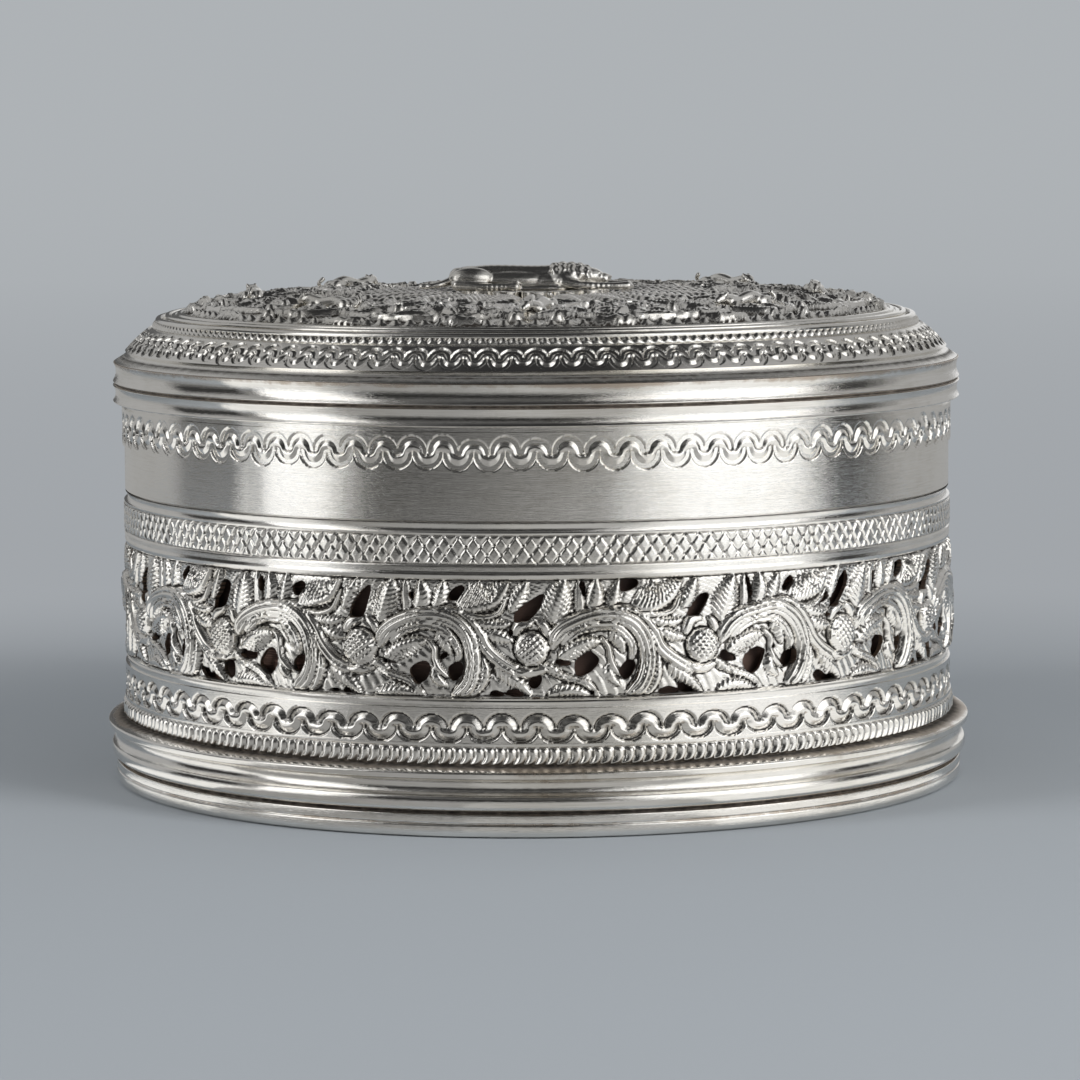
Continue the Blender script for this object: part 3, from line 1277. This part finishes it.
petals.height -= 0.2 * groove((petal_ribs + 0.5) % 1 - 0.5, 0.2) * (petal_share < 0.95)
between = np.hypot((np.abs(petal_x) - 0.5) * petal_pitch, (petal_up - 0.13) * PETAL_LONG)
petals.height += 0.8 * np.exp(-(between / BOSS_HALF) ** 4)
dome_ring("dome_petals", petal_middle, petals)


# %% [markdown]
# Beasts and the finial
#
# Eight little beasts run round the dome, and a lion lies on a petalled plate at the top with
# its head to the right. They were cast or punched up high and are rubbed smooth, so each is
# made as in wax: balls are set where the flesh is, melted into one skin by a voxel remesh
# and smoothed. Sculpting would need a hand on the mouse, and a subdivided box looks hard.

# %% Balls along a line
def limb(points, widths, steps=6):
    """Return balls along a smooth line whose half widths change from end to end."""
    line = smooth_line(points, steps)
    share = np.linspace(0, 1, len(line))
    sizes = np.interp(share, np.linspace(0, 1, len(widths)), widths)
    return [(tuple(place), (size, size, size)) for place, size in zip(line, sizes)]


def both_sides(balls):
    """Return balls and the same again on the other side."""
    return balls + [((x, -y, z), size) for (x, y, z), size in balls]


# %% Balls run together
def run_together(name, balls, voxel, rounds):
    """Melt balls, each a middle and three half widths, into one smoothed skin."""
    clear_selection()
    bpy.ops.mesh.primitive_ico_sphere_add(subdivisions=3, radius=1)
    piece = bpy.context.object
    piece.name = name
    ball = positions(piece)
    corners = np.array([face.vertices[:] for face in piece.data.polygons])
    places = np.vstack([ball * np.array(size) + np.array(middle) for middle, size in balls])
    faces = np.vstack([corners + index * len(ball) for index in range(len(balls))])
    skin = bpy.data.meshes.new(name)
    skin.from_pydata(places.tolist(), [], faces.tolist())
    piece.data = skin
    take(piece)
    for kind, settings in (("REMESH", {"mode": "VOXEL", "voxel_size": voxel}),
                           ("SMOOTH", {"factor": 0.5, "iterations": rounds})):
        bpy.ops.object.modifier_add(type=kind)
        modifier = piece.modifiers[-1]
        for key, value in settings.items():
            setattr(modifier, key, value)
        bpy.ops.object.modifier_apply(modifier=modifier.name)
    return piece


# %% Creases of a skin
def mark_creases(piece, strength):
    """Mark how far each vertex lies in a crease of its skin."""
    places = positions(piece)
    edges = np.empty(len(piece.data.edges) * 2, np.int32)
    piece.data.edges.foreach_get("vertices", edges)
    ends = np.vstack([edges.reshape(-1, 2), edges.reshape(-1, 2)[:, ::-1]])
    count = np.bincount(ends[:, 0], minlength=len(places))
    smooth = places
    for _ in range(5):
        smooth = np.stack([np.bincount(ends[:, 0], smooth[ends[:, 1], axis], len(places))
                           for axis in range(3)], axis=1) / count[:, None]
    normals = np.empty(len(places) * 3, np.float32)
    piece.data.vertices.foreach_get("normal", normals)
    hollow = ((smooth - places) * normals.reshape(-1, 3)).sum(axis=1) / MM
    mark(piece, "recess", np.clip(hollow * strength, 0, 1))


# %% One small beast
def small_beast(look, arch):
    """Return the balls of a crouching beast: look turns its head and arch lifts its back."""
    trunk = limb([(-3.3, 0, 1.0), (-1.2, 0, 1.25 + arch), (1.2, 0, 1.15), (2.8, 0, 1.2)],
                 [0.95, 1.0, 0.85, 1.05])
    neck = limb([(2.8, 0, 1.3), (3.9, look * 0.4, 1.7)], [0.95, 0.75])
    head = [((4.6, look * 0.7, 1.75), (0.95, 0.8, 0.72)),
            ((5.45, look * 1.0, 1.45), (0.62, 0.5, 0.42))]
    for ear in (-0.55, 0.55):
        head.append(((4.2, look * 0.7 + ear, 2.35), (0.3, 0.22, 0.34)))
    legs = both_sides(
        [((-3.1, 0.85, 0.95), (1.35, 0.75, 1.05))]
        + limb([(-3.7, 1.3, 0.5), (-2.4, 1.7, 0.3), (-1.5, 1.6, 0.3)], [0.5, 0.36, 0.42])
        + limb([(2.5, 0.95, 0.9), (3.3, 1.5, 0.5), (4.6, 1.5, 0.25)], [0.62, 0.42, 0.46]))
    tail = limb([(-4.1, 0, 1.1), (-5.2, 0.35, 1.0), (-6.0, 0.2, 1.6), (-5.4, -0.1, 2.2)],
                [0.42, 0.3, 0.26, 0.36])
    return trunk + neck + head + legs + tail


print("a small beast is run together from", len(small_beast(0.0, 0.2)), "balls")


# %% Eight beasts on the dome
BEAST_COUNT = 8
BEAST_ROUND = 38.5
FRONT_SWING = 1.3


def set_on_dome(piece, turn, radius, swing=0.0):
    """Set a beast on the dome, running to the left as seen from outside, and swing it round."""
    places = positions(piece)
    cosine, sine = math.cos(swing), math.sin(swing)
    places[:, :2] = places[:, :2] @ np.array([[cosine, sine], [-sine, cosine]])
    places[:, 2] = np.maximum(places[:, 2], -0.15)
    run = run_at(radius)
    out, rise = square_to_dome(run)
    level = np.interp(run, dome_run, dome_line[:, 1])
    outward = np.array([math.sin(turn), -math.cos(turn), 0])
    ahead = -np.array([math.cos(turn), math.sin(turn), 0])
    up = outward * out + np.array([0, 0, rise])
    aside = np.cross(up, ahead)
    stand = outward * radius + np.array([0, 0, level])
    frame_of = np.stack([ahead, aside, up])
    set_positions(piece, (places @ frame_of + stand) * MM)


for number in range(BEAST_COUNT):
    draw = np.random.default_rng(900 + number)
    look, arch = draw.uniform(-0.9, 0.9), draw.uniform(0.05, 0.4)
    creature = run_together(f"dome_beast_{number + 1}", small_beast(look, arch), 0.17, 3)
    set_on_dome(creature, math.tau * number / BEAST_COUNT + draw.uniform(-0.02, 0.02),
                BEAST_ROUND + draw.uniform(-0.6, 0.6), FRONT_SWING * (number == 0))
    mark_creases(creature, 9)
    soften(creature, 80)
    finish_piece(creature, "lid", "chased_silver", ["dome_beasts"], beast_silver)

# %% [markdown]
# The plate under the lion
#
# The lion lies on a little flower of twelve petals with a plain heart, cut from sheet and held
# by the stud through its middle. A sawn disc could be cut from a solid, but a sheet that runs
# in from a scalloped edge lets the petals swell and the lines between them sink.

# %% Plate under the lion
PLATE_REACH = span("finial_plate")[0]
PLATE_PETALS = 12
SCALLOP = 2.6
HEART_RADIUS = 5.3


def scalloped(turn, up):
    """Return the radius at a share of the way in from the scalloped edge to the bore."""
    edge = PLATE_REACH - SCALLOP * (1 - np.abs(np.cos(turn * PLATE_PETALS / 2)) ** 0.55)
    return STUD_BORE + (edge - STUD_BORE) * (1 - up)


plate = round_sheet(PLATE_REACH, 0.0, 1.0, PLATE_PETALS, 26, 0.025)
plate_turn = plate.x / PLATE_REACH
petal_wave = np.abs(np.cos(plate_turn * PLATE_PETALS / 2))
plate_radius = scalloped(plate_turn, plate.y)
petal_zone = np.clip((plate_radius - HEART_RADIUS - 0.3) / 0.5, 0, 1)
petal_swell = np.sin(math.pi * np.clip(plate.y * 2, 0, 1))
plate.height += 0.12 * petal_zone * petal_wave ** 0.5 * petal_swell
plate.height -= 0.22 * groove(np.sin(plate_turn * PLATE_PETALS / 2), 0.12) * petal_zone
plate.height -= 0.18 * groove(plate.y - 0.09, 0.035)
plate.height -= 0.2 * groove(plate_radius - HEART_RADIUS, 0.2)


def lay_plate(across, up, height):
    """Lay the plate flat, with its edge scalloped round the petals."""
    turn = across / PLATE_REACH
    reach = scalloped(turn, up)
    level = PLATE_TOP - 0.1 + height
    return np.stack([reach * np.sin(turn), -reach * np.cos(turn), level], axis=-1) * MM


rosette = chased_ring("finial_rosette", plate, lay_plate, DOME_TOP - PLATE_TOP + 0.05, deep=2)
finish_piece(rosette, "lid", "chased_silver", ["finial_plate"], chased_silver)


# %% Balls of the lion
def mane_curls(rings):
    """Return the curls of the mane, in rings round the neck."""
    curls = []
    for middle, height, width, tall, count, size in rings:
        for index in range(count):
            turn = math.radians(-18 + 216 * (index + 0.5) / count)
            curls.append(((middle + 0.18 * (index % 2), width * math.cos(turn),
                           height + tall * math.sin(turn)), (size, size, size)))
    return curls


BACK = limb([(-10.4, 0, 2.1), (-6.0, 0, 2.45), (0.0, 0, 2.35), (5.0, 0, 2.4)],
            [1.5, 1.6, 1.55, 1.65])
TRUNK = [((-3.5, 0, 1.4), (7.4, 3.1, 1.9)), ((2.5, 0, 1.2), (4.4, 3.0, 1.7)),
         ((0.0, 0, 0.2), (9.5, 3.7, 0.9)), ((4.4, 0, 1.8), (3.2, 3.0, 2.0))]
HEAD = [((7.4, 0, 2.0), (2.0, 1.9, 1.5)), ((9.3, 0, 1.7), (1.15, 1.05, 0.9)),
        ((10.25, 0, 1.9), (0.4, 0.45, 0.32))]
HAUNCH_AND_SHOULDER = [((-8.8, 2.2, 1.8), (3.1, 1.7, 1.95)), ((3.8, 2.4, 1.35), (1.7, 0.9, 1.35))]
EAR_BROW_AND_CHEEK = [((6.9, 1.35, 3.2), (0.42, 0.35, 0.5)), ((8.7, 0.8, 2.6), (0.5, 0.42, 0.32)),
                      ((9.6, 0.6, 1.45), (0.55, 0.45, 0.45))]
HIND_LEG = limb([(-10.6, 2.9, 0.8), (-7.4, 3.8, 0.5), (-3.8, 3.7, 0.5), (-2.8, 3.6, 0.5)],
                [1.0, 0.7, 0.55, 0.75])
FORE_LEG = limb([(4.0, 2.8, 1.1), (6.4, 3.2, 0.65), (10.4, 2.8, 0.5), (12.6, 2.3, 0.48)],
                [1.0, 0.7, 0.6, 0.76])
TOES = [((13.2, 2.0 + 0.34 * toe, 0.36), (0.45, 0.2, 0.3)) for toe in (-1, 0, 1)]
HAUNCH_CURLS = [((-9.9 + 1.0 * math.cos(curl), 3.1, 1.5 + 0.8 * math.sin(curl)),
                 (0.5, 0.4, 0.45)) for curl in (0.0, 1.3, 2.5, 3.8, 5.0)]
MANE = mane_curls([(2.6, 2.3, 2.1, 1.6, 11, 0.5), (3.7, 2.4, 2.2, 1.6, 12, 0.55),
                   (4.9, 2.35, 2.25, 1.6, 11, 0.56), (6.0, 2.2, 2.2, 1.6, 11, 0.54),
                   (7.0, 2.05, 2.05, 1.5, 10, 0.46)])
CREST = [((-10.9 + 1.2 * knob, 0, 3.2), (0.5, 0.35, 0.3)) for knob in range(11)]
TAIL = limb([(-11.6, -0.4, 1.3), (-13.2, -1.4, 0.8), (-14.6, -1.7, 0.55)], [0.75, 0.5, 0.42])
TAIL_TIP = [((-15.3, -1.7, 0.55), (0.85, 0.6, 0.5))]
SIDE = HAUNCH_AND_SHOULDER + EAR_BROW_AND_CHEEK + HIND_LEG + FORE_LEG + TOES + HAUNCH_CURLS
LION = BACK + TRUNK + HEAD + both_sides(SIDE) + MANE + CREST + TAIL + TAIL_TIP
print("the lion is run together from", len(LION), "balls")

# %% Lion
lion = run_together("finial_lion", LION, 0.17, 3)
places = positions(lion)
places[:, 2] = np.maximum(places[:, 2], -0.2)
places[:, 2] *= (BEAST_TOP - PLATE_TOP - 0.02) / places[:, 2].max()
set_positions(lion, (places + (0, 0, PLATE_TOP)) * MM)
mark_creases(lion, 9)
soften(lion, 80)
finish_piece(lion, "lid", "chased_silver", ["finial_beast"], beast_silver)


# %% [markdown]
# Plain pieces of the frame
#
# The base plate, the collar, the liner and the tray with its covered cups are plain spun
# metal, which is the shape that their solids have already. They keep that shape and get the
# finishes of worn metal: dull silver inside, browned copper for the liner, turned brass.

# %% Finishes on the frame's own solids
FINISH_OF = {
    "base_plate": inner_silver,
    "inner_collar": inner_silver,
    "liner_cup": liner_copper,
    "tray": inner_silver,
    "tray_post": inner_silver,
    "lid_wall": polished_silver,
    "finial_stud": fixing_brass,
    "finial_washer": fixing_brass,
    "finial_nut": fixing_brass,
    "dome_line_wire": polished_silver,
    "dome_bead_wire": polished_silver,
}
for number in range(1, 5):
    for part in ("cup", "cup_cap", "cup_knob"):
        FINISH_OF[f"{part}_{number}"] = inner_silver
for node, finish in FINISH_OF.items():
    mesh = nodes[node].data
    mesh.materials.clear()
    mesh.materials.append(finish)
print("solids with a finish:", len(FINISH_OF))


# %% [markdown]
# The photographer's table
#
# Polished silver shows its surroundings more than itself. Two soft boxes stand close at both
# sides and give the white streaks; the floor in front gives the light greys; the dim room
# over the camera gives the darks. A picture of a studio could be wrapped round it all, but
# its parts could not be moved one by one. So what the silver sees is set by near and far
# floor cards, wall cards and a room that only reflections see, and the lamps that light the
# floor and cast the shadows are apart from them. The floor runs up into a sweep with no line.

# %% Stage helpers
def glow(name, tone):
    """Return a stage colour that shines by itself."""
    finish = Finish(name)
    finish.set(Base_Color=colour(0, 0, 0), Roughness=1.0, Emission_Color=tone,
               Emission_Strength=1.0)
    finish.shader.inputs["Specular IOR Level"].default_value = 0.0
    return finish.material


def turned_wall(name, radius, low, high, start, end, material, steps=24):
    """Stand a curved card round the box between two directions, in metres and degrees."""
    clear_selection()
    bpy.ops.mesh.primitive_grid_add(x_subdivisions=steps, y_subdivisions=1, size=2)
    card = bpy.context.object
    card.name = name
    places = positions(card)
    turn = np.radians(start + (places[:, 0] + 1) / 2 * (end - start))
    level = low + (places[:, 1] + 1) / 2 * (high - low)
    set_positions(card, np.stack([radius * np.sin(turn), -radius * np.cos(turn), level], axis=-1))
    card.data.materials.append(material)
    return card


def floor_card(name, near, far, start, end, material, steps=12):
    """Lay a flat sector just over the floor between two directions."""
    card = turned_wall(name, 1.0, 0.0, 1.0, start, end, material, steps)
    places = positions(card)
    reach = near + places[:, 2] * (far - near)
    places[:, 0] *= reach
    places[:, 1] *= reach
    places[:, 2] = 0.0005
    set_positions(card, places)
    return card


def glossy_only(card):
    """Let nothing but reflections see a card."""
    card.visible_camera = False
    card.visible_diffuse = False
    card.visible_shadow = False
    card.visible_transmission = False


# %% Floor and sweep
def sweep(name):
    """Return a pale matt grey which, far from the box, the camera sees evenly lit."""
    finish = Finish(name)
    finish.set(Base_Color=colour(0.36, 0.385, 0.41), Roughness=1.0)
    finish.shader.inputs["Specular IOR Level"].default_value = 0.0
    apart = finish.node("ShaderNodeSeparateXYZ", {}, finish.place())
    height = Socket(finish, apart.output.node.outputs["Z"])
    behind = Socket(finish, apart.output.node.outputs["Y"])
    flat = finish.node("ShaderNodeVectorMath", {"operation": "MULTIPLY"}, finish.place(),
                       (1.0, 1.0, 0.0))
    reach = finish.node("ShaderNodeVectorMath", {"operation": "LENGTH"}, flat, output="Value")
    tone = finish.mix((reach + height * 8.0).above(0.2, 2.2), colour(0.36, 0.38, 0.403),
                      colour(0.425, 0.448, 0.468))
    light = finish.node("ShaderNodeEmission", {}, tone, 1.0)
    seen = finish.node("ShaderNodeLightPath", {}, output="Is Camera Ray")
    ground = Socket(finish, finish.shader.outputs[0])
    both = finish.node("ShaderNodeMixShader", {}, seen * (reach + behind * 0.25).above(0.1, 0.3),
                       ground, light)
    finish.feed(finish.tree.nodes["Material Output"].inputs["Surface"], both)
    return finish.material


sweep_grey = sweep("sweep_grey")
clear_selection()
bpy.ops.mesh.primitive_circle_add(vertices=96, radius=1.6, fill_type="NGON")
floor = bpy.context.object
floor.name = "floor"
floor.data.materials.append(sweep_grey)
back = turned_wall("sweep", 1.6, 0.0, 1.6, -180, 180, sweep_grey, 96)
back.visible_glossy = False
back.visible_shadow = False
back.visible_diffuse = False

# %% What the silver sees
FOOT_EDGE = 0.0605
NEAR_REACH = 0.3
SWEEP_REACH = 1.55
WALL_REACH = 0.9
FLOOR_TONES = [
    (-180, -112, 0.36), (-112, -84, 0.22), (-49, -40, 0.12), (-40, -30, 0.08),
    (-30, -20, 0.12), (-20, -10, 0.18), (-10, 0, 0.24), (0, 10, 0.32), (10, 22, 0.46),
    (78, 102, 0.09), (102, 180, 0.36),
]
NEAR_TONES = [(-82, -50, 0.40, 0.86), (-50, -10, NEAR_REACH, 0.30),
              (-10, 24, NEAR_REACH, 0.42), (24, 76, 0.42, 0.90)]
WALL_TONES = [(-112, -84, 0.04), (-49, 12, 0.03), (80, 104, 0.04), (156, 176, 0.75),
              (-176, -158, 0.10)]
for start, end, tone in FLOOR_TONES:
    shade = glow(f"floor_tone_{start}", colour(tone, tone, tone * 0.99))
    glossy_only(floor_card(f"floor_card_{start}", NEAR_REACH, SWEEP_REACH, start, end, shade))
for start, end, far, tone in NEAR_TONES:
    shade = glow(f"near_tone_{start}", colour(tone, tone, tone * 0.99))
    glossy_only(floor_card(f"near_card_{start}", FOOT_EDGE, far, start, end, shade))
for start, end, tone in WALL_TONES:
    shade = glow(f"wall_tone_{start}", colour(tone, tone, tone))
    glossy_only(turned_wall(f"wall_card_{start}", WALL_REACH, 0.02, 0.42, start, end, shade))
print("cards:", len(FLOOR_TONES), "far,", len(NEAR_TONES), "near and", len(WALL_TONES), "upright")

# %% The room
world = bpy.data.worlds.new("room")
bpy.context.scene.world = world
world.use_nodes = True


class Room(Finish):
    """The world's nodes, written as a finish is."""

    def __init__(self, scene_world):
        self.tree = scene_world.node_tree
        self.shader = self.tree.nodes["Background"]


room = Room(world)
direction = room.node("ShaderNodeTexCoord", {}, output="Generated")
parts = room.node("ShaderNodeSeparateXYZ", {}, direction).output.node.outputs
to_right, to_back, to_top = (Socket(room, parts[axis]) for axis in "XYZ")
frontal = (to_back * -0.97 + to_right * -0.26).above(0.0, 0.65)
overhead = to_top.above(0.55, 0.8) * (1.0 - (to_right * to_right).above(0.06, 0.25))
around = room.mix(frontal, colour(0.38, 0.38, 0.38), colour(0.12, 0.12, 0.12))
above = room.mix(overhead, around, colour(0.03, 0.03, 0.031))
mirrored = room.node("ShaderNodeLightPath", {}, output="Is Glossy Ray")
room.set(Color=room.mix(mirrored, colour(0.18, 0.19, 0.20), above), Strength=1.0)


# %% Lamps
def soft_lamp(name, turn, distance, level, wide, high, power, aim=0.03, mirrored=False):
    """Hang a square lamp that faces the box; only a mirrored one is seen in the silver."""
    place = mathutils.Vector((distance * math.sin(math.radians(turn)),
                              -distance * math.cos(math.radians(turn)), level))
    bpy.ops.object.light_add(type="AREA", location=place)
    lamp = bpy.context.object
    lamp.name = name
    lamp.data.shape = "RECTANGLE"
    lamp.data.size = wide
    lamp.data.size_y = high
    lamp.data.energy = power
    lamp.visible_camera = False
    lamp.visible_glossy = mirrored
    away = place - mathutils.Vector((0, 0, aim))
    lamp.rotation_euler = away.to_track_quat("Z", "Y").to_euler()
    return lamp


soft_lamp("left_box", -62, 0.42, 0.18, 0.20, 0.36, 0.27, mirrored=True)
soft_lamp("right_box", 50, 0.42, 0.18, 0.42, 0.36, 0.54, mirrored=True)
soft_lamp("left_lamp", -62, 0.8, 0.42, 0.30, 0.30, 2.75)
soft_lamp("right_lamp", 50, 0.8, 0.42, 0.30, 0.30, 4.3)
soft_lamp("top_lamp", 0, 0.001, 1.1, 1.2, 1.2, 2.6)

# %% [markdown]
# The camera
#
# The photographer stood about 61 cm off with a long lens, a little over the rim and looking
# slightly down. A wide lens close by would fill the frame as well, but then the dome opens up
# and the foot bulges. The place and the lens were worked out from the ellipses of the rims.

# %% Camera
CAMERA_PLACE = (0, -0.61425, 0.09508)
LOOK_DOWN = 5.86
TILT = 0.41
LENS = 148.3
SENSOR_WIDTH = 36
SHIFT = 0.0057
camera_data = bpy.data.cameras.new("camera")
camera = bpy.data.objects.new("camera", camera_data)
bpy.context.scene.collection.objects.link(camera)
bpy.context.scene.camera = camera
camera.location = CAMERA_PLACE
camera.rotation_euler = (math.radians(90 - LOOK_DOWN), math.radians(TILT), 0)
camera_data.lens = LENS
camera_data.sensor_width = SENSOR_WIDTH
camera_data.shift_x = SHIFT
bpy.context.scene.view_settings.view_transform = "Standard"
print("camera at", CAMERA_PLACE, "lens", LENS)

# %% Hand over
bpy.context.view_layer.update()
